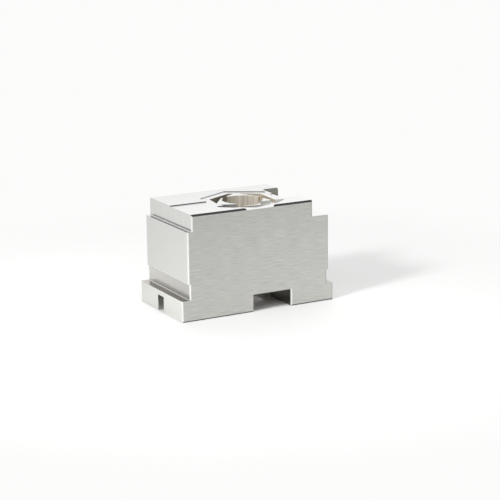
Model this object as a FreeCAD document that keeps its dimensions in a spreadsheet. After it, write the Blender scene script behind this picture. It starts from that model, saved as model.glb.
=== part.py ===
# Machined mounting block: one solid of milled aluminium.
# It stands on its underside. +Z is up, X runs along the long front face, and -Y is the front.
# The origin is the centre of the underside, midway between the outer ends of the two feet.
import FreeCAD, Part
import math
import os
import Sketcher

doc = FreeCAD.newDocument("mounting_block")

# Driving sizes in millimetres and degrees
sizes = doc.addObject("Spreadsheet::Sheet", "sizes")
drivingSizes = [
    ("foot_length", 145.0, "over the outer ends of the two feet"),
    ("block_depth", 80.0, "front face to back face"),
    ("land_height", 90.0, "underside to the front land"),
    ("raised_step", 0.7, "raised back land above the front land"),
    ("land_split", 39.2, "raised land starts this far behind the front face"),
    ("foot_reach_left", 6.1, "left foot past the middle part"),
    ("foot_reach_right", 4.5, "right foot past the middle part"),
    ("foot_height_left", 18.2, "top of the left foot"),
    ("foot_height_right", 15.2, "top of the right foot"),
    ("waist_inset_left", 1.3, "left waist behind the middle part"),
    ("waist_inset_right", 1.6, "right waist behind the middle part"),
    ("waist_top_left", 31.8, "top of the left waist"),
    ("waist_top_right", 27.8, "top of the right waist"),
    ("ledge_height", 75.8, "underside to the ledges"),
    ("ledge_width_left", 3.9, "left ledge"),
    ("ledge_width_right", 15.7, "right ledge"),
    ("notch_width", 36.8, "notch across the underside, front to back"),
    ("notch_height", 15.0, "notch ceiling above the underside"),
    ("notch_centre", 12.5, "notch centre to the right of the origin"),
    ("keyway_width", 11.0, "keyway along the underside"),
    ("keyway_height", 14.0, "keyway ceiling above the underside"),
    ("keyway_setback", 40.8, "keyway centre behind the front face"),
    ("slot_width", 38.4, "end slot in the top"),
    ("slot_length", 16.6, "end slot in from the right end"),
    ("slot_depth", 8.0, "end slot below the front land"),
    ("slot_radius", 4.0, "cutter radius in the end slot's corners"),
    ("bore_centre", 2.4, "bore axis to the right of the origin"),
    ("bore_setback", 33.1, "bore axis behind the front face"),
    ("seat_diameter", 35.0, "upper bore"),
    ("seat_depth", 8.0, "upper bore below the front land"),
    ("through_diameter", 33.6, "lower bore"),
    ("recess_reach", 30.9, "sides of the hexagonal recess from the bore axis"),
    ("recess_angle", -2.0, "how far the recess and the lock pockets are turned"),
    ("relief_depth", 1.6, "front of the recess below the front land"),
    ("relief_reach", 14.0, "that front part starts this far before the bore axis"),
    ("relief_mouth", 24.6, "its width where it runs out through the front face"),
    ("pocket_count", 3, "lock pockets round the bore"),
    ("pocket_depth", 4.2, "lock pockets below the front land"),
    ("pocket_reach", 24.3, "outer wall of a lock pocket from the bore axis"),
    ("pocket_wall", 28.0, "length of that wall"),
    ("near_tip_reach", 20.5, "nearer tip of a lock pocket, outward from the bore axis"),
    ("near_tip_side", 17.0, "nearer tip, sideways"),
    ("far_tip_reach", 9.5, "farther tip of a lock pocket, outward from the bore axis"),
    ("far_tip_side", 24.8, "farther tip, sideways"),
    ("mouth_reach", 15.0, "mouth of a lock pocket, inside the bore"),
    ("mouth_width", 16.0, "width of that mouth"),
    ("outer_radius", 2.0, "rounded outer corners of the right end"),
    ("inner_radius", 1.0, "cutter radius in the inner corners of both ends"),
    ("top_chamfer", 1.55, "long top edges"),
    ("face_chamfer", 1.0, "upright and bottom edges of the front and back faces"),
    ("step_bevel", 0.6, "edge of the raised land"),
    ("overrun", 5.0, "how far a cut runs past the metal"),
]
for row, (alias, value, note) in enumerate(drivingSizes, start=1):
    sizes.set("A%d" % row, str(value))
    sizes.setAlias("A%d" % row, alias)
    sizes.set("B%d" % row, note)
doc.recompute()

body = doc.addObject("PartDesign::Body", "mounting_block")
body.Label = "mounting_block"

# Expressions that more than one sketch uses
footLeft = "-sizes.foot_length / 2"
footRight = "sizes.foot_length / 2"
midLeft = footLeft + " + sizes.foot_reach_left"
midRight = footRight + " - sizes.foot_reach_right"
waistLeft = midLeft + " + sizes.waist_inset_left"
waistRight = midRight + " - sizes.waist_inset_right"
upperLeft = midLeft + " + sizes.ledge_width_left"
upperRight = midRight + " - sizes.ledge_width_right"
notchLeft = "sizes.notch_centre - sizes.notch_width / 2"
notchRight = "sizes.notch_centre + sizes.notch_width / 2"
frontFace = "-sizes.block_depth / 2"
backFace = "sizes.block_depth / 2"
topLevel = "sizes.land_height + sizes.raised_step"
boreBack = "sizes.bore_setback - sizes.block_depth / 2"
recessCorner = "sizes.recess_reach / sqrt(3)"


def originPlane(role):
    for feature in body.Origin.OriginFeatures:
        if feature.Role == role:
            return feature
    raise RuntimeError("no origin plane " + role)


def newSketch(name, role, right="0", up="0", off="0"):
    # A sketch on an origin plane, moved along its own axes by three expressions
    sketch = body.newObject("Sketcher::SketchObject", name)
    sketch.AttachmentSupport = [(originPlane(role), "")]
    sketch.MapMode = "FlatFace"
    sketch.setExpression(".AttachmentOffset.Base.x", right)
    sketch.setExpression(".AttachmentOffset.Base.y", up)
    sketch.setExpression(".AttachmentOffset.Base.z", off)
    return sketch


def bind(sketch, expression, kind, *arguments):
    # A constraint whose value follows an expression of the sheet
    index = sketch.addConstraint(Sketcher.Constraint(kind, *arguments))
    sketch.setExpression("Constraints[%d]" % index, expression)


def tie(sketch, kind, *arguments):
    sketch.addConstraint(Sketcher.Constraint(kind, *arguments))


def addOutline(sketch, corners):
    # A closed outline of straight lines, each corner placed by two expressions
    count = len(corners)
    turn = 2 * math.pi / count
    rough = [FreeCAD.Vector(50 * math.cos(turn * i), 50 * math.sin(turn * i), 0) for i in range(count)]
    for i in range(count):
        sketch.addGeometry(Part.LineSegment(rough[i], rough[(i + 1) % count]), False)
    for i in range(count):
        tie(sketch, "Coincident", i, 2, (i + 1) % count, 1)
    for i, (x, y) in enumerate(corners):
        bind(sketch, x, "DistanceX", -1, 1, i, 1, rough[i].x)
        bind(sketch, y, "DistanceY", -1, 1, i, 1, rough[i].y)


def addBevel(sketch, across, up, inAcross, inUp, width):
    # A triangle that breaks the corner at (across, up); the two signs point into the metal
    outAcross, outUp = (" - " if sign == " + " else " + " for sign in (inAcross, inUp))
    far = across + inAcross + width + inAcross + "sizes.overrun"
    high = up + inUp + width + inUp + "sizes.overrun"
    outside = (across + outAcross + "sizes.overrun", up + outUp + "sizes.overrun")
    addOutline(sketch, [outside, (far, outside[1]), (outside[0], high)])


def addCircle(sketch, radius):
    sketch.addGeometry(Part.Circle(FreeCAD.Vector(0, 0, 0), FreeCAD.Vector(0, 0, 1), 10), False)
    tie(sketch, "Coincident", 0, 3, -1, 1)
    bind(sketch, radius, "Radius", 0, 10)


def addSlot(sketch, start, end, width, radius):
    # A slot along X whose two corners at the start are rounded
    normal = FreeCAD.Vector(0, 0, 1)
    half = 20
    centres = [FreeCAD.Vector(5, half - 5, 0), FreeCAD.Vector(5, 5 - half, 0)]
    turns = [(math.pi / 2, math.pi), (math.pi, 3 * math.pi / 2)]
    arcs = [Part.ArcOfCircle(Part.Circle(spot, normal, 5), *turn) for spot, turn in zip(centres, turns)]
    far = [FreeCAD.Vector(30, -half, 0), FreeCAD.Vector(30, half, 0)]
    sketch.addGeometry(Part.LineSegment(arcs[1].EndPoint, far[0]), False)
    sketch.addGeometry(Part.LineSegment(far[0], far[1]), False)
    sketch.addGeometry(Part.LineSegment(far[1], arcs[0].StartPoint), False)
    sketch.addGeometry(arcs[0], False)
    sketch.addGeometry(Part.LineSegment(arcs[0].EndPoint, arcs[1].StartPoint), False)
    sketch.addGeometry(arcs[1], False)
    tie(sketch, "Coincident", 0, 2, 1, 1)
    tie(sketch, "Coincident", 1, 2, 2, 1)
    tie(sketch, "Tangent", 2, 2, 3, 1)
    tie(sketch, "Tangent", 3, 2, 4, 1)
    tie(sketch, "Tangent", 4, 2, 5, 1)
    tie(sketch, "Tangent", 5, 2, 0, 1)
    tie(sketch, "Horizontal", 0)
    tie(sketch, "Horizontal", 2)
    tie(sketch, "Vertical", 4)
    tie(sketch, "Equal", 3, 5)
    tie(sketch, "Symmetric", 0, 2, 1, 2, -1)
    bind(sketch, radius, "Radius", 3, 5)
    bind(sketch, width, "DistanceY", 0, 2, 1, 2, 2 * half)
    bind(sketch, end, "DistanceX", -1, 1, 0, 2, 30)
    bind(sketch, start, "DistanceX", -1, 1, 3, 2, 0)


def newPad(name, sketch, length):
    pad = body.newObject("PartDesign::Pad", name)
    pad.Profile = sketch
    pad.SideType = "Symmetric"
    pad.setExpression("Length", length)
    doc.recompute()
    return pad


def newPocket(name, sketch, length=None, side="One side"):
    # Cuts against the sketch's normal, right through when no length is given
    before = body.Shape.Volume
    pocket = body.newObject("PartDesign::Pocket", name)
    pocket.Profile = sketch
    pocket.SideType = side
    if length is None:
        pocket.Type = "ThroughAll"
    else:
        pocket.setExpression("Length", length)
    doc.recompute()
    if not body.Shape.Volume < before - 1.0:
        raise RuntimeError(name + " cuts nothing")
    return pocket


def dressEdges(kind, name, size, wanted):
    # A fillet or chamfer on the edges of the present solid that the test picks
    base = body.Tip
    picked = ["Edge%d" % i for i, edge in enumerate(base.Shape.Edges, start=1) if wanted(edge.BoundBox)]
    if not picked:
        raise RuntimeError("no edges for " + name)
    dress = body.newObject("PartDesign::" + kind, name)
    dress.Base = (base, picked)
    dress.setExpression("Radius" if kind == "Fillet" else "Size", size)
    doc.recompute()
    if not dress.isValid():
        raise RuntimeError(name + " fails")
    return dress


def near(a, b):
    return abs(a - b) < 0.001


# Side profile with feet, waist, middle part, ledges, raised part and the notch
profileCorners = {
    "foot left bottom": (footLeft, "0"),
    "notch left bottom": (notchLeft, "0"),
    "notch left top": (notchLeft, "sizes.notch_height"),
    "notch right top": (notchRight, "sizes.notch_height"),
    "notch right bottom": (notchRight, "0"),
    "foot right bottom": (footRight, "0"),
    "foot right top": (footRight, "sizes.foot_height_right"),
    "waist right bottom": (waistRight, "sizes.foot_height_right"),
    "waist right top": (waistRight, "sizes.waist_top_right"),
    "middle right bottom": (midRight, "sizes.waist_top_right"),
    "middle right top": (midRight, "sizes.ledge_height"),
    "upper right bottom": (upperRight, "sizes.ledge_height"),
    "upper right top": (upperRight, topLevel),
    "upper left top": (upperLeft, topLevel),
    "upper left bottom": (upperLeft, "sizes.ledge_height"),
    "middle left top": (midLeft, "sizes.ledge_height"),
    "middle left bottom": (midLeft, "sizes.waist_top_left"),
    "waist left top": (waistLeft, "sizes.waist_top_left"),
    "waist left bottom": (waistLeft, "sizes.foot_height_left"),
    "foot left top": (footLeft, "sizes.foot_height_left"),
}
profile = newSketch("profile", "XZ_Plane")
addOutline(profile, list(profileCorners.values()))
newPad("block", profile, "sizes.block_depth")


def atCorners(*names):
    # Picks the edges along the depth that stand on the named corners of the profile
    order = list(profileCorners)
    spots = [profile.Geometry[order.index(name)].StartPoint for name in names]

    def wanted(box):
        flat = near(box.XMin, box.XMax) and near(box.ZMin, box.ZMax)
        return flat and any(near(box.XMin, spot.x) and near(box.ZMin, spot.y) for spot in spots)
    return wanted


dressEdges("Fillet", "inner_corners", "sizes.inner_radius", atCorners(
    "waist right bottom", "upper right bottom", "upper left bottom", "waist left bottom"))
dressEdges("Fillet", "right_corners", "sizes.outer_radius", atCorners(
    "middle right top", "upper right top"))

# Keyway along the underside, through both feet
keyway = newSketch("keyway", "YZ_Plane", right="sizes.keyway_setback - sizes.block_depth / 2")
addOutline(keyway, [
    ("-sizes.keyway_width / 2", "-sizes.overrun"),
    ("sizes.keyway_width / 2", "-sizes.overrun"),
    ("sizes.keyway_width / 2", "sizes.keyway_height"),
    ("-sizes.keyway_width / 2", "sizes.keyway_height"),
])
newPocket("keyway_cut", keyway, side="Symmetric")

# Front land, milled below the raised land at the back
frontLand = newSketch("front_land", "XY_Plane", off=topLevel)
addOutline(frontLand, [
    (upperLeft + " - sizes.overrun", frontFace + " - sizes.overrun"),
    (upperRight + " + sizes.overrun", frontFace + " - sizes.overrun"),
    (upperRight + " + sizes.overrun", frontFace + " + sizes.land_split"),
    (upperLeft + " - sizes.overrun", frontFace + " + sizes.land_split"),
])
newPocket("front_land_cut", frontLand, "sizes.raised_step")



def newTopSketch(name, turn):
    # A sketch on the raised land about the bore axis, turned by an expression in degrees
    sketch = newSketch(name, "XY_Plane", right="sizes.bore_centre", up=boreBack, off=topLevel)
    sketch.setExpression(".AttachmentOffset.Rotation.Angle", turn + " * 1 deg")
    return sketch


# Hexagonal recess about the bore axis, let into the raised land at the level of the front land
recess = newTopSketch("recess", "sizes.recess_angle")
addOutline(recess, [
    ("sizes.recess_reach", "-" + recessCorner),
    ("sizes.recess_reach", recessCorner),
    ("0", "2 * " + recessCorner),
    ("-sizes.recess_reach", recessCorner),
    ("-sizes.recess_reach", "-" + recessCorner),
    ("0", "-2 * " + recessCorner),
])
newPocket("recess_cut", recess, "sizes.raised_step")

halfDepth = sizes.get("block_depth") / 2
raisedLevel = sizes.get("land_height") + sizes.get("raised_step")


def raisedEdge(box):
    # Edges of the raised land, without those that reach the back face
    return near(box.ZMin, raisedLevel) and near(box.ZMax, raisedLevel) and not near(box.YMax, halfDepth)


dressEdges("Chamfer", "raised_edges", "sizes.step_bevel", raisedEdge)

# Upright edges of the front face, level by level, with the side that the metal is on
uprights = [
    ("upper_left", upperLeft, " + ", "sizes.ledge_height", topLevel),
    ("upper_right", upperRight, " - ", "sizes.ledge_height", topLevel),
    ("middle_left", midLeft, " + ", "sizes.waist_top_left", "sizes.ledge_height"),
    ("middle_right", midRight, " - ", "sizes.waist_top_right", "sizes.ledge_height"),
    ("waist_left", waistLeft, " + ", "sizes.foot_height_left", "sizes.waist_top_left"),
    ("waist_right", waistRight, " - ", "sizes.foot_height_right", "sizes.waist_top_right"),
    ("foot_left", footLeft, " + ", "0", "sizes.foot_height_left"),
    ("foot_right", footRight, " - ", "0", "sizes.foot_height_right"),
    ("notch_right", notchRight, " + ", "0", "sizes.notch_height"),
]
cornerCuts = []
for name, across, inward, low, high in uprights:
    corner = newSketch(name, "XY_Plane", off=high)
    addBevel(corner, across, frontFace, inward, " + ", "sizes.face_chamfer")
    cornerCuts.append(newPocket(name + "_cut", corner, "(%s) - (%s)" % (high, low)))
backCorners = body.newObject("PartDesign::Mirrored", "back_corners")
backCorners.Originals = cornerCuts
backCorners.MirrorPlane = (originPlane("XZ_Plane"), [""])
body.Tip = backCorners
doc.recompute()

# Long edges of the top and the underside; the top ones are broken wider
longEdges = [
    ("front_top", frontFace, "sizes.land_height", " + ", " - ", "sizes.top_chamfer"),
    ("back_top", backFace, topLevel, " - ", " - ", "sizes.top_chamfer"),
    ("front_bottom", frontFace, "0", " + ", " + ", "sizes.face_chamfer"),
    ("back_bottom", backFace, "0", " - ", " + ", "sizes.face_chamfer"),
]
for name, across, level, inward, upward, width in longEdges:
    edge = newSketch(name, "YZ_Plane")
    addBevel(edge, across, level, inward, upward, width)
    newPocket(name + "_cut", edge, side="Symmetric")

# Relief: the front of the recess is lower and runs out through the front face
relief = newTopSketch("relief", "sizes.recess_angle")
addOutline(relief, [
    ("sizes.recess_reach", "-sizes.relief_reach"),
    ("-sizes.recess_reach", "-sizes.relief_reach"),
    ("-sizes.recess_reach", "-" + recessCorner),
    ("-sizes.relief_mouth / 2", "-sizes.bore_setback"),
    ("-sizes.relief_mouth / 2", "-sizes.bore_setback - sizes.overrun"),
    ("sizes.relief_mouth / 2", "-sizes.bore_setback - sizes.overrun"),
    ("sizes.relief_mouth / 2", "-sizes.bore_setback"),
    ("sizes.recess_reach", "-" + recessCorner),
])
newPocket("relief_cut", relief, "sizes.raised_step + sizes.relief_depth")

# Bore right through, with a wider seat at the top
through = newTopSketch("through", "0")
addCircle(through, "sizes.through_diameter / 2")
newPocket("through_cut", through)
seat = newTopSketch("seat", "0")
addCircle(seat, "sizes.seat_diameter / 2")
newPocket("seat_cut", seat, "sizes.raised_step + sizes.seat_depth")

# Lock pockets round the bore, each open to it between two tips
pocket = newTopSketch("pocket", "sizes.recess_angle")
addOutline(pocket, [
    ("sizes.mouth_reach", "-sizes.mouth_width / 2"),
    ("sizes.near_tip_reach", "-sizes.near_tip_side"),
    ("sizes.pocket_reach", "-sizes.pocket_wall / 2"),
    ("sizes.pocket_reach", "sizes.pocket_wall / 2"),
    ("sizes.far_tip_reach", "sizes.far_tip_side"),
    ("sizes.mouth_reach", "sizes.mouth_width / 2"),
])
pocketCut = newPocket("pocket_cut", pocket, "sizes.raised_step + sizes.pocket_depth")
locks = body.newObject("PartDesign::PolarPattern", "locks")
locks.Originals = [pocketCut]
locks.Axis = (pocket, ["N_Axis"])
locks.Angle = 360
locks.setExpression("Occurrences", "sizes.pocket_count")
body.Tip = locks
doc.recompute()

# Slot in the right end of the top, over the ledge, with its cutter's radius in the inner corners
slot = newSketch("slot", "XY_Plane", off=topLevel)
addSlot(slot, upperRight + " - sizes.slot_length", upperRight + " + sizes.overrun", "sizes.slot_width", "sizes.slot_radius")
newPocket("slot_cut", slot, "sizes.raised_step + sizes.slot_depth")

for item in doc.Objects:
    if "Invalid" in item.State or "Error" in item.State:
        raise RuntimeError(item.Name + " failed")
if body.Shape.isNull() or not body.Shape.isValid() or len(body.Shape.Solids) != 1:
    raise RuntimeError("the block is not one valid solid")

os.makedirs("parts", exist_ok=True)
body.Shape.exportStep("parts/%s.step" % body.Label)
print("faces", len(body.Shape.Faces), "volume", round(body.Shape.Volume))
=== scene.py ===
import math

import bmesh
import bpy
from mathutils import Matrix, Vector


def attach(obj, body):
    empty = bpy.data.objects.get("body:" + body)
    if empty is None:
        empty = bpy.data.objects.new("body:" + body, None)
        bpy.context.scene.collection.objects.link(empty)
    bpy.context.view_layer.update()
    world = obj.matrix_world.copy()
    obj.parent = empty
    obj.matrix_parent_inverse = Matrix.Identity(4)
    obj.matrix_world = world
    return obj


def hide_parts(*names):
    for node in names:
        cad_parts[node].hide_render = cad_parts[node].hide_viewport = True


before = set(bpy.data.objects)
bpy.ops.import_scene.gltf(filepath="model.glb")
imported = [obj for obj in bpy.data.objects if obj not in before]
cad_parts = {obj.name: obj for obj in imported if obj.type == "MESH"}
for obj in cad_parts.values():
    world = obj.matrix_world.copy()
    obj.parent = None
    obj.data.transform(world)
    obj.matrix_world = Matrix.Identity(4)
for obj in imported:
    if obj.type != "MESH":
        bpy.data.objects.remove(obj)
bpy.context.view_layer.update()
print("frame loaded")


def addObject(name, data):
    made = bpy.data.objects.new(name, data)
    bpy.context.scene.collection.objects.link(made)
    return made


# Camera: the photograph's viewing angle, in metres and radians, with the lens in millimetres
shot = {
    "lens": 113.1,
    "sensor": 36,
    "aim": (0.0296, 0.03026, 0.03464),
    "distance": 1.3930,
    "turn": -0.49745,  # to the left of the front
    "rise": 0.23893,
    "roll": -0.01101,
    "far": 20,  # nothing beyond this is drawn
}


def addCamera(shot):
    turn, rise, roll = shot["turn"], shot["rise"], shot["roll"]
    level = math.cos(rise)
    back = Vector((math.sin(turn) * level, -math.cos(turn) * level, math.sin(rise)))
    right = Vector((math.cos(turn), math.sin(turn), 0))
    up = back.cross(right)
    across = math.cos(roll) * right + math.sin(roll) * up
    upward = -math.sin(roll) * right + math.cos(roll) * up
    axes = Matrix((across, upward, back)).transposed().to_4x4()
    data = bpy.data.cameras.new("camera")
    data.lens = shot["lens"]
    data.sensor_width = shot["sensor"]
    data.clip_end = shot["far"]
    camera = addObject("camera", data)
    place = Vector(shot["aim"]) + back * shot["distance"]
    camera.matrix_world = Matrix.Translation(place) @ axes
    bpy.context.scene.camera = camera


addCamera(shot)
print("camera set")


# Small helpers for node trees: a value is a constant or another node's socket
def feed(tree, node, values):
    for name, value in values.items():
        if isinstance(value, bpy.types.NodeSocket):
            tree.links.new(value, node.inputs[name])
        else:
            node.inputs[name].default_value = value


def newNode(tree, kind, values=None, **settings):
    made = tree.nodes.new(kind)
    for name, value in settings.items():
        setattr(made, name, value)
    feed(tree, made, values or {})
    return made


def mathNode(tree, operation, *terms, **settings):
    values = dict(enumerate(terms))
    made = newNode(tree, "ShaderNodeMath", values, operation=operation, **settings)
    return made.outputs["Value"]


def vectorNode(tree, operation, *terms):
    made = newNode(tree, "ShaderNodeVectorMath", dict(enumerate(terms)), operation=operation)
    return made.outputs["Value" if operation in ("DOT_PRODUCT", "LENGTH") else "Vector"]


def mapRange(tree, source, before, after, smooth=False):
    values = {
        "Value": source,
        "From Min": before[0], "From Max": before[1],
        "To Min": after[0], "To Max": after[1],
    }
    style = "SMOOTHSTEP" if smooth else "LINEAR"
    return newNode(tree, "ShaderNodeMapRange", values, interpolation_type=style).outputs["Result"]


def newGroup(name, inputs, outputs):
    group = bpy.data.node_groups.new(name, "ShaderNodeTree")
    for label, kind, value in inputs:
        made = group.interface.new_socket(label, in_out="INPUT", socket_type=kind)
        made.default_value = value
    for label, kind in outputs:
        group.interface.new_socket(label, in_out="OUTPUT", socket_type=kind)
    return group, newNode(group, "NodeGroupInput"), newNode(group, "NodeGroupOutput")


# Brushed grain: streaks in object space, stretched along one way, over soft clouds, times a slow
# painted gradient of light and shade across the block
grainShape = {
    "fine": {"Scale": 1.0, "Detail": 3.0, "Roughness": 0.65},
    "cloud": {"Scale": 22.0, "Detail": 2.0},
    "span": (0.3, 0.7),  # where most of the noise lies
    "cloudShare": 0.25,
    "middle": (0, 0, 0.045),  # the painted light and shade gradient is nought here
    "wear": (0.9, 1.1),  # how far the clouds change the roughness
    "bumpDepth": 0.0001,
}


def grainAndPaintedShadeGroup():
    group, given, result = newGroup("brushedGrainAndPaintedShade", [
        ("Stretch", "NodeSocketVector", (10, 10, 1000)),
        ("Depth", "NodeSocketFloat", 0.5),
        ("PaintedShadeDrift", "NodeSocketVector", (0, 0, 0)),
    ], [
        ("GrainAndPaintedShade", "NodeSocketFloat"),
        ("Height", "NodeSocketFloat"),
        ("Cloud", "NodeSocketFloat"),
    ])
    place = newNode(group, "ShaderNodeTexCoord").outputs["Object"]
    stretched = vectorNode(group, "MULTIPLY", place, given.outputs["Stretch"])
    fine = newNode(group, "ShaderNodeTexNoise", {"Vector": stretched, **grainShape["fine"]})
    cloud = newNode(group, "ShaderNodeTexNoise", {"Vector": place, **grainShape["cloud"]})
    share = grainShape["cloudShare"]
    streaks = mapRange(group, fine.outputs["Fac"], grainShape["span"], (-1.0, 1.0))
    clouds = mapRange(group, cloud.outputs["Fac"], grainShape["span"], (-share, share))
    both = mathNode(group, "ADD", streaks, clouds)
    tone = mathNode(group, "MULTIPLY_ADD", both, given.outputs["Depth"], 1.0)
    # Painted light and shade: the tone is scaled along a slow gradient that is nought at the
    # middle
    away = vectorNode(group, "SUBTRACT", place, grainShape["middle"])
    paintedShadeDrift = vectorNode(group, "DOT_PRODUCT", away, given.outputs["PaintedShadeDrift"])
    feed(group, result, {
        "GrainAndPaintedShade": mathNode(group, "MULTIPLY_ADD", tone, paintedShadeDrift, tone),
        "Height": fine.outputs["Fac"],
        "Cloud": cloud.outputs["Fac"],
    })
    return group


grainWithPaintedShade = grainAndPaintedShadeGroup()

# One finish per kind of cut. "stretch" is how often the grain changes per metre along X, Y and Z,
# "shade" how far it shows, and "paintedShadeDrift" a slow painted gradient of light and shade per
# metre. "blur" draws the gloss out along "along", and what isn't all metal gives its share in
# "metal"
finishes = {
    # Painted light and shade: lighter towards the bottom and the right
    "longFaces": {
        "color": (0.65, 0.65, 0.62), "rough": 0.34, "blur": 0.75, "along": (0, 0, 1),
        "stretch": (75, 300, 1900), "shade": 0.17, "bump": 0.12, "paintedShadeDrift": (0.4, 0, -1.2),
    },
    # Painted light and shade: lighter towards the front and a little towards the top
    "endFaces": {
        "color": (0.69, 0.69, 0.67), "rough": 0.22, "blur": 0.6, "along": (0, 1, 0),
        "stretch": (300, 1500, 20), "shade": 0.035, "bump": 0.06, "paintedShadeDrift": (0, -0.9, 0.1),
    },
    # Painted shade: a darker, part-diffuse copy of the end finish for the lower ends, darker
    # towards the front
    "paintedShadeWaists": {
        "color": (0.50, 0.495, 0.465), "rough": 0.22, "blur": 0.6, "along": (0, 1, 0),
        "stretch": (300, 1500, 20), "shade": 0.035, "bump": 0.06, "paintedShadeDrift": (0, 2.4, 0),
        "metal": 0.45,
    },
    # Painted light: a lighter copy of the end finish for the ends of the feet, darker towards the
    # back
    "paintedLightFootEnds": {
        "color": (0.75, 0.75, 0.72), "rough": 0.22, "blur": 0.6, "along": (0, 1, 0),
        "stretch": (300, 1500, 20), "shade": 0.035, "bump": 0.06, "paintedShadeDrift": (0, -2.2, 0),
    },
    # Painted light and shade: lighter towards the front and the right
    "topFaces": {
        "color": (0.86, 0.86, 0.85), "rough": 0.20, "blur": 0.3, "along": (1, 0, 0),
        "stretch": (30, 1500, 300), "shade": 0.02, "bump": 0.03, "paintedShadeDrift": (0.3, -1.5, 0),
    },
    # Painted shade: a darker copy of the top finish for the ledges of the feet
    "paintedShadeFootLedges": {
        "color": (0.50, 0.475, 0.43), "rough": 0.20, "blur": 0.3, "along": (1, 0, 0),
        "stretch": (30, 1500, 300), "shade": 0.03, "bump": 0.03,
    },
    "brokenEdges": {
        "color": (0.93, 0.93, 0.92), "rough": 0.14, "blur": 0.0, "along": (1, 0, 0),
        "stretch": (300, 300, 300), "shade": 0.02, "bump": 0.0,
    },
    "boreWalls": {
        "color": (0.69, 0.64, 0.55), "rough": 0.35, "blur": 0.5, "along": (0, 0, 1),
        "stretch": (700, 700, 8), "shade": 0.30, "bump": 0.08,
        "metal": 0.3,
    },
    # Painted shade and light: darker towards the left, lighter towards the right
    "pocketWalls": {
        "color": (0.53, 0.47, 0.38), "rough": 0.26, "blur": 0.4, "along": (0, 0, 1),
        "stretch": (700, 700, 12), "shade": 0.10, "bump": 0.06, "paintedShadeDrift": (20, 0, 0),
        "metal": 0.65,
    },
    # Painted shade and light: darker towards the left, lighter towards the right
    "recessWalls": {
        "color": (0.54, 0.54, 0.52), "rough": 0.30, "blur": 0.3, "along": (0, 0, 1),
        "stretch": (300, 300, 1200), "shade": 0.04, "bump": 0.04, "paintedShadeDrift": (24, 0, 0),
        "metal": 0.3,
    },
    # Painted shade: a dark copy of the long faces' finish for the walls inside the slot
    "paintedShadeSlotWalls": {
        "color": (0.26, 0.25, 0.225), "rough": 0.25, "blur": 0.4, "along": (1, 0, 0),
        "stretch": (30, 900, 900), "shade": 0.08, "bump": 0.06,
    },
    # Painted shade: a dark finish for the walls under the block inside the notch
    "paintedShadeNotchWalls": {
        "color": (0.24, 0.235, 0.215), "rough": 0.30, "blur": 0.4, "along": (0, 1, 0),
        "stretch": (900, 14, 900), "shade": 0.06, "bump": 0.06,
    },
    # Painted shade: a dark finish draws a thin shaded line along the upright bevels on the right
    "paintedShadeSideEdges": {
        "color": (0.16, 0.16, 0.15), "rough": 0.30, "blur": 0.0, "along": (1, 0, 0),
        "stretch": (300, 300, 300), "shade": 0.02, "bump": 0.0,
    },
    # Painted shade: a dark finish on the bevels that face down, for the block's contact shadow
    "paintedShadeUnderEdges": {
        "color": (0.22, 0.215, 0.20), "rough": 0.30, "blur": 0.0, "along": (1, 0, 0),
        "stretch": (300, 300, 300), "shade": 0.02, "bump": 0.0,
    },
}


def finishMaterial(name, finish):
    material = bpy.data.materials.new(name)
    material.use_nodes = True
    tree = material.node_tree
    # The group gives the grain's tone times the painted light and shade gradient, which tints the
    # colour
    streaks = newNode(tree, "ShaderNodeGroup", {
        "Stretch": finish["stretch"],
        "Depth": finish["shade"],
        "PaintedShadeDrift": finish.get("paintedShadeDrift", (0, 0, 0)),
    }, node_tree=grainWithPaintedShade)
    tint = newNode(tree, "ShaderNodeVectorMath", {
        0: finish["color"],
        "Scale": streaks.outputs["GrainAndPaintedShade"],
    }, operation="SCALE")
    along = newNode(tree, "ShaderNodeCombineXYZ", dict(zip("XYZ", finish["along"])))
    rough = [finish["rough"] * wear for wear in grainShape["wear"]]
    bump = newNode(tree, "ShaderNodeBump", {
        "Strength": finish["bump"],
        "Distance": grainShape["bumpDepth"],
        "Height": streaks.outputs["Height"],
    })
    feed(tree, tree.nodes["Principled BSDF"], {
        "Base Color": tint.outputs["Vector"],
        "Metallic": finish.get("metal", 1.0),
        "Roughness": mapRange(tree, streaks.outputs["Cloud"], grainShape["span"], rough),
        "Anisotropic": finish["blur"],
        "Tangent": along.outputs["Vector"],
        "Normal": bump.outputs["Normal"],
    })
    return material


# The block: the frame's own solid with the lips joined on, and a finish for each kind of cut
blockShape = {
    "bore": (0.0024, -0.0069),  # the bore's axis
    "boreWall": 0.0179,  # walls nearer to the axis are the bore's
    "recess": 0.0335,  # walls nearer to the axis are the pockets' or the recess's
    "shoulder": 0.0887,  # above this they are the recess's
    "notch": (-0.0065, 0.0315, 0.0155),  # left, right and top
    "slot": (0.0335, 0.03, 0.08),  # left end, half the width, and the lowest level
    "feet": 0.0715,  # only the feet reach farther out
    "foot": 0.025,  # flats below this are the feet's
    "waist": 0.031,  # ends below this are the waists
    "merge": 0.000002,
    "flat": 0.6,  # degrees, under which two faces become one
    "sharp": 25,  # degrees, over which an edge is drawn sharp
}

# How much of a face's normal lies along an axis
facing = {"up": 0.95, "square": 0.97, "wall": 0.5, "down": 0.9, "right": 0.3, "level": 0.1}


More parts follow.
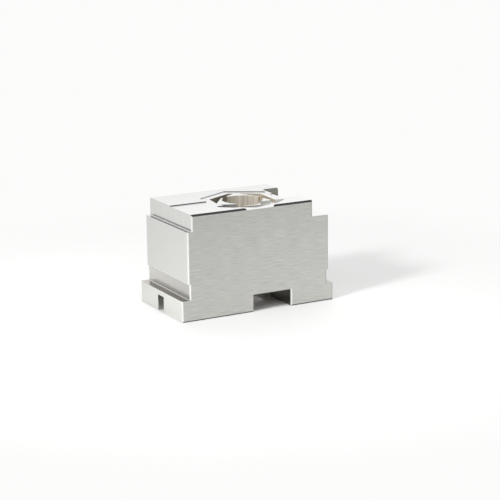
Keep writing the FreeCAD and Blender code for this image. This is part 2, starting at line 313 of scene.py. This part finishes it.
def finishOf(face):
    normal = face.normal
    centre = face.calc_center_median()
    across = centre.x - blockShape["bore"][0]
    behind = centre.y - blockShape["bore"][1]
    fromBore = math.hypot(across, behind)
    left, right, ceiling = blockShape["notch"]
    # Walls inside the notch get a dark finish: painted shade
    if left < centre.x < right and centre.z < ceiling and abs(normal.y) < facing["wall"]:
        return "paintedShadeNotchWalls"
    if normal.z > facing["up"]:
        # Ledges low on the feet get a darker copy of the top finish: painted shade
        return "topFaces" if centre.z > blockShape["foot"] else "paintedShadeFootLedges"
    if abs(normal.z) < facing["wall"] and fromBore < blockShape["recess"]:
        outward = normal.x * across + normal.y * behind > 0
        if outward or centre.z > blockShape["shoulder"]:
            return "recessWalls"
        return "boreWalls" if fromBore < blockShape["boreWall"] else "pocketWalls"
    # Walls inside the slot get a dark finish: painted shade
    if abs(normal.y) > facing["square"]:
        start, half, lowest = blockShape["slot"]
        inSlot = centre.x > start and abs(centre.y) < half and centre.z > lowest
        return "paintedShadeSlotWalls" if inSlot else "longFaces"
    if abs(normal.x) > facing["square"]:
        if abs(centre.x) > blockShape["feet"]:
            # The ends of the feet get a lighter copy of the end finish: painted light
            return "paintedLightFootEnds"
        # The lower ends get a darker copy of the end finish: painted shade
        return "endFaces" if centre.z > blockShape["waist"] else "paintedShadeWaists"
    # Bevels that face down get a dark finish: painted contact shadow
    if normal.z < -facing["wall"]:
        return "longFaces" if normal.z < -facing["down"] else "paintedShadeUnderEdges"
    # Upright bevels on the right get a dark finish: painted shade
    upright = normal.x > facing["right"] and abs(normal.z) < facing["level"]
    return "paintedShadeSideEdges" if upright else "brokenEdges"


# Lips: the thin walls between the bore and the lock pockets, which leave each pocket a narrow
# mouth. Outlines are drawn for a pocket that points along X, then turned into place
lipShape = {
    "centre": (0.0024, -0.0069), "turn": -2.0, "count": 3,
    "radius": 0.0175, "steps": 8, "mouth": 0.0075, "reach": 0.019,
    "floor": 0.0853, "land": 0.09,
    "relief": 0.0884, "front": -0.014,  # lower in front of this line
    "overlap": 0.0001,
    "sides": (
        {
            "sign": -1, "until": 29.0,
            "corners": ((0.01534, -0.01035), (0.0193, -0.0166), (0.0205, -0.0173)),
        },
        {
            "sign": 1, "until": 35.0,
            "corners": ((0.0118, 0.014), (0.0087, 0.024), (0.0092, 0.0251)),
        },
    ),
}


def lipOutline(lips, side):
    first = math.asin(lips["mouth"] / 2 / lips["radius"])
    last = math.radians(side["until"])
    outline = []
    for step in range(lips["steps"] + 1):
        angle = side["sign"] * (first + (last - first) * step / lips["steps"])
        outline.append((lips["radius"] * math.cos(angle), lips["radius"] * math.sin(angle)))
    return outline + list(side["corners"]) + [(lips["reach"], side["sign"] * lips["mouth"] / 2)]


def turned(outline, angle):
    along, across = math.cos(angle), math.sin(angle)
    return [(x * along - y * across, x * across + y * along) for x, y in outline]


def keepSide(outline, level, sign):
    kept = []
    for (xa, ya), (xb, yb) in zip(outline, outline[1:] + outline[:1]):
        before, after = sign * (ya - level), sign * (yb - level)
        if before >= 0:
            kept.append((xa, ya))
        if before * after < 0:
            share = before / (before - after)
            kept.append((xa + share * (xb - xa), ya + share * (yb - ya)))
    return kept


def addPrism(mesh, outline, low, high):
    bottom = [mesh.verts.new((x, y, low)) for x, y in outline]
    top = [mesh.verts.new((x, y, high)) for x, y in outline]
    mesh.faces.new(bottom)
    mesh.faces.new(top)
    for index in range(len(outline)):
        after = (index + 1) % len(outline)
        mesh.faces.new((bottom[index], bottom[after], top[after], top[index]))


def addLip(mesh, lips, outline):
    front = lips["front"]
    parts = (
        (keepSide(outline, front, 1), lips["land"]),
        (keepSide(outline, front + lips["overlap"], -1), lips["relief"]),
    )
    for part, high in parts:
        if len(part) > 2:
            placed = turned(part, math.radians(lips["turn"]))
            placed = [(x + lips["centre"][0], y + lips["centre"][1]) for x, y in placed]
            addPrism(mesh, placed, lips["floor"], high)


def makeLips(lips):
    mesh = bmesh.new()
    for index in range(lips["count"]):
        for side in lips["sides"]:
            outline = turned(lipOutline(lips, side), 2 * math.pi * index / lips["count"])
            addLip(mesh, lips, outline)
    bmesh.ops.recalc_face_normals(mesh, faces=mesh.faces)
    data = bpy.data.meshes.new("lips")
    mesh.to_mesh(data)
    mesh.free()
    return addObject("lips", data)


def joinedMesh(base, added):
    whole = addObject("whole", base)
    union = whole.modifiers.new("union", "BOOLEAN")
    union.operation = "UNION"
    union.solver = "EXACT"
    union.use_self = True
    union.object = added
    bpy.context.view_layer.update()
    finished = whole.evaluated_get(bpy.context.evaluated_depsgraph_get())
    result = bpy.data.meshes.new_from_object(finished)
    bpy.data.objects.remove(whole)
    bpy.data.objects.remove(added)
    return result


def blockMesh():
    mesh = bmesh.new()
    mesh.from_mesh(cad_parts["mounting_block"].data)
    bmesh.ops.remove_doubles(mesh, verts=mesh.verts, dist=blockShape["merge"])
    plain = bpy.data.meshes.new("plain")
    mesh.to_mesh(plain)
    mesh.clear()
    mesh.from_mesh(joinedMesh(plain, makeLips(lipShape)))
    bmesh.ops.remove_doubles(mesh, verts=mesh.verts, dist=blockShape["merge"])
    flat = math.radians(blockShape["flat"])
    bmesh.ops.dissolve_limit(mesh, angle_limit=flat, verts=mesh.verts, edges=mesh.edges)
    return mesh


def makeBlock():
    mesh = blockMesh()
    names = list(finishes)
    for face in mesh.faces:
        face.material_index = names.index(finishOf(face))
        face.smooth = True
    sharp = math.radians(blockShape["sharp"])
    for edge in mesh.edges:
        edge.smooth = len(edge.link_faces) != 2 or edge.calc_face_angle() <= sharp
    openEdges = sum(1 for edge in mesh.edges if len(edge.link_faces) != 2)
    print("block:", len(mesh.faces), "faces,", openEdges, "open edges")
    data = bpy.data.meshes.new("block")
    mesh.to_mesh(data)
    mesh.free()
    for name, finish in finishes.items():
        data.materials.append(finishMaterial(name, finish))
    block = addObject("block", data)
    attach(block, "root")
    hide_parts("mounting_block")


makeBlock()
print("block made")

# Floor: lit and shaded near the block, plain white farther out for the camera and reflections
floorLook = {
    "half": 6.0,
    "color": (0.855, 0.855, 0.85, 1), "rough": 0.6, "shine": 0.1,
    "white": (1, 1, 0.994, 1), "strength": 0.97,
    "fade": (0.17, 0.42),  # metres from the middle of the block
}


def floorPaint():
    paint = bpy.data.materials.new("floor")
    paint.use_nodes = True
    tree = paint.node_tree
    shader = tree.nodes["Principled BSDF"]
    feed(tree, shader, {
        "Base Color": floorLook["color"],
        "Roughness": floorLook["rough"],
        "Specular IOR Level": floorLook["shine"],
    })
    plain = newNode(tree, "ShaderNodeEmission", {
        "Color": floorLook["white"],
        "Strength": floorLook["strength"],
    })
    place = newNode(tree, "ShaderNodeTexCoord").outputs["Object"]
    far = mapRange(tree, vectorNode(tree, "LENGTH", place), floorLook["fade"], (0, 1), smooth=True)
    rays = newNode(tree, "ShaderNodeLightPath").outputs
    seen = mathNode(tree, "ADD", rays["Is Camera Ray"], rays["Is Glossy Ray"])
    seen = mathNode(tree, "ADD", seen, rays["Is Transmission Ray"], use_clamp=True)
    blend = newNode(tree, "ShaderNodeMixShader", {
        0: mathNode(tree, "MULTIPLY", far, seen),
        1: shader.outputs["BSDF"],
        2: plain.outputs["Emission"],
    })
    feed(tree, tree.nodes["Material Output"], {"Surface": blend.outputs["Shader"]})
    return paint


def makeFloor():
    half = floorLook["half"]
    corners = [(-half, -half, 0), (half, -half, 0), (half, half, 0), (-half, half, 0)]
    mesh = bpy.data.meshes.new("floor")
    mesh.from_pydata(corners, [], [(0, 1, 2, 3)])
    mesh.materials.append(floorPaint())
    addObject("floor", mesh)


makeFloor()
print("floor made")

# Room: a white wall behind the block that reaches up overhead, a white screen on its left, grey
# walls elsewhere and a dark ceiling. Ranges are cosines of the turn, and sines of the rise
room = {
    "wall": 1.0, "side": 0.22, "behind": (0.477, 0.879, 0), "turn": (0.675, 0.725),
    "screen": 0.6, "left": (-0.985, -0.17, 0), "spread": (0.80, 0.92),
    "ceiling": 0.28, "upper": 0.65, "rise": (0.68, 0.82),
}


def makeRoom():
    world = bpy.data.worlds.new("room")
    bpy.context.scene.world = world
    world.use_nodes = True
    tree = world.node_tree
    way = newNode(tree, "ShaderNodeTexCoord").outputs["Generated"]
    heading = vectorNode(tree, "NORMALIZE", vectorNode(tree, "MULTIPLY", way, (1, 1, 0)))
    behind = vectorNode(tree, "DOT_PRODUCT", heading, room["behind"])
    wall = mapRange(tree, behind, room["turn"], (room["side"], room["wall"]), smooth=True)
    left = vectorNode(tree, "DOT_PRODUCT", heading, room["left"])
    screen = mapRange(tree, left, room["spread"], (0, room["screen"]), smooth=True)
    upper = mapRange(tree, behind, room["turn"], (room["ceiling"], room["upper"]), smooth=True)
    height = newNode(tree, "ShaderNodeSeparateXYZ", {"Vector": way}).outputs["Z"]
    overhead = mapRange(tree, height, room["rise"], (1, upper), smooth=True)
    walls = mathNode(tree, "ADD", wall, screen)
    feed(tree, tree.nodes["Background"], {
        "Color": (1, 1, 1, 1),
        "Strength": mathNode(tree, "MULTIPLY", walls, overhead),
    })


makeRoom()
print("room made")

# Lights: a soft one overhead, a large soft one in front and a small key from the left. The metal
# doesn't mirror the lamps themselves
lights = {
    "overhead": {"at": (-0.15, -0.50, 2.2), "size": 0.8, "power": 23},
    "front": {"at": (-0.60, -1.6, 1.7), "size": 1.3, "power": 11},
    "key": {"at": (-1.6, -0.5, 1.0), "size": 0.32, "power": 21.5},
}
lightAim = (0, 0, 0.04)


def addLight(name, light):
    data = bpy.data.lights.new(name, "AREA")
    data.shape = "SQUARE"
    data.size = light["size"]
    data.energy = light["power"]
    lamp = addObject(name, data)
    lamp.location = light["at"]
    way = Vector(lightAim) - Vector(light["at"])
    lamp.rotation_euler = way.to_track_quat("-Z", "Y").to_euler()
    lamp.visible_glossy = False


for name, light in lights.items():
    addLight(name, light)
print("lights set")

bpy.context.scene.view_settings.view_transform = "Standard"
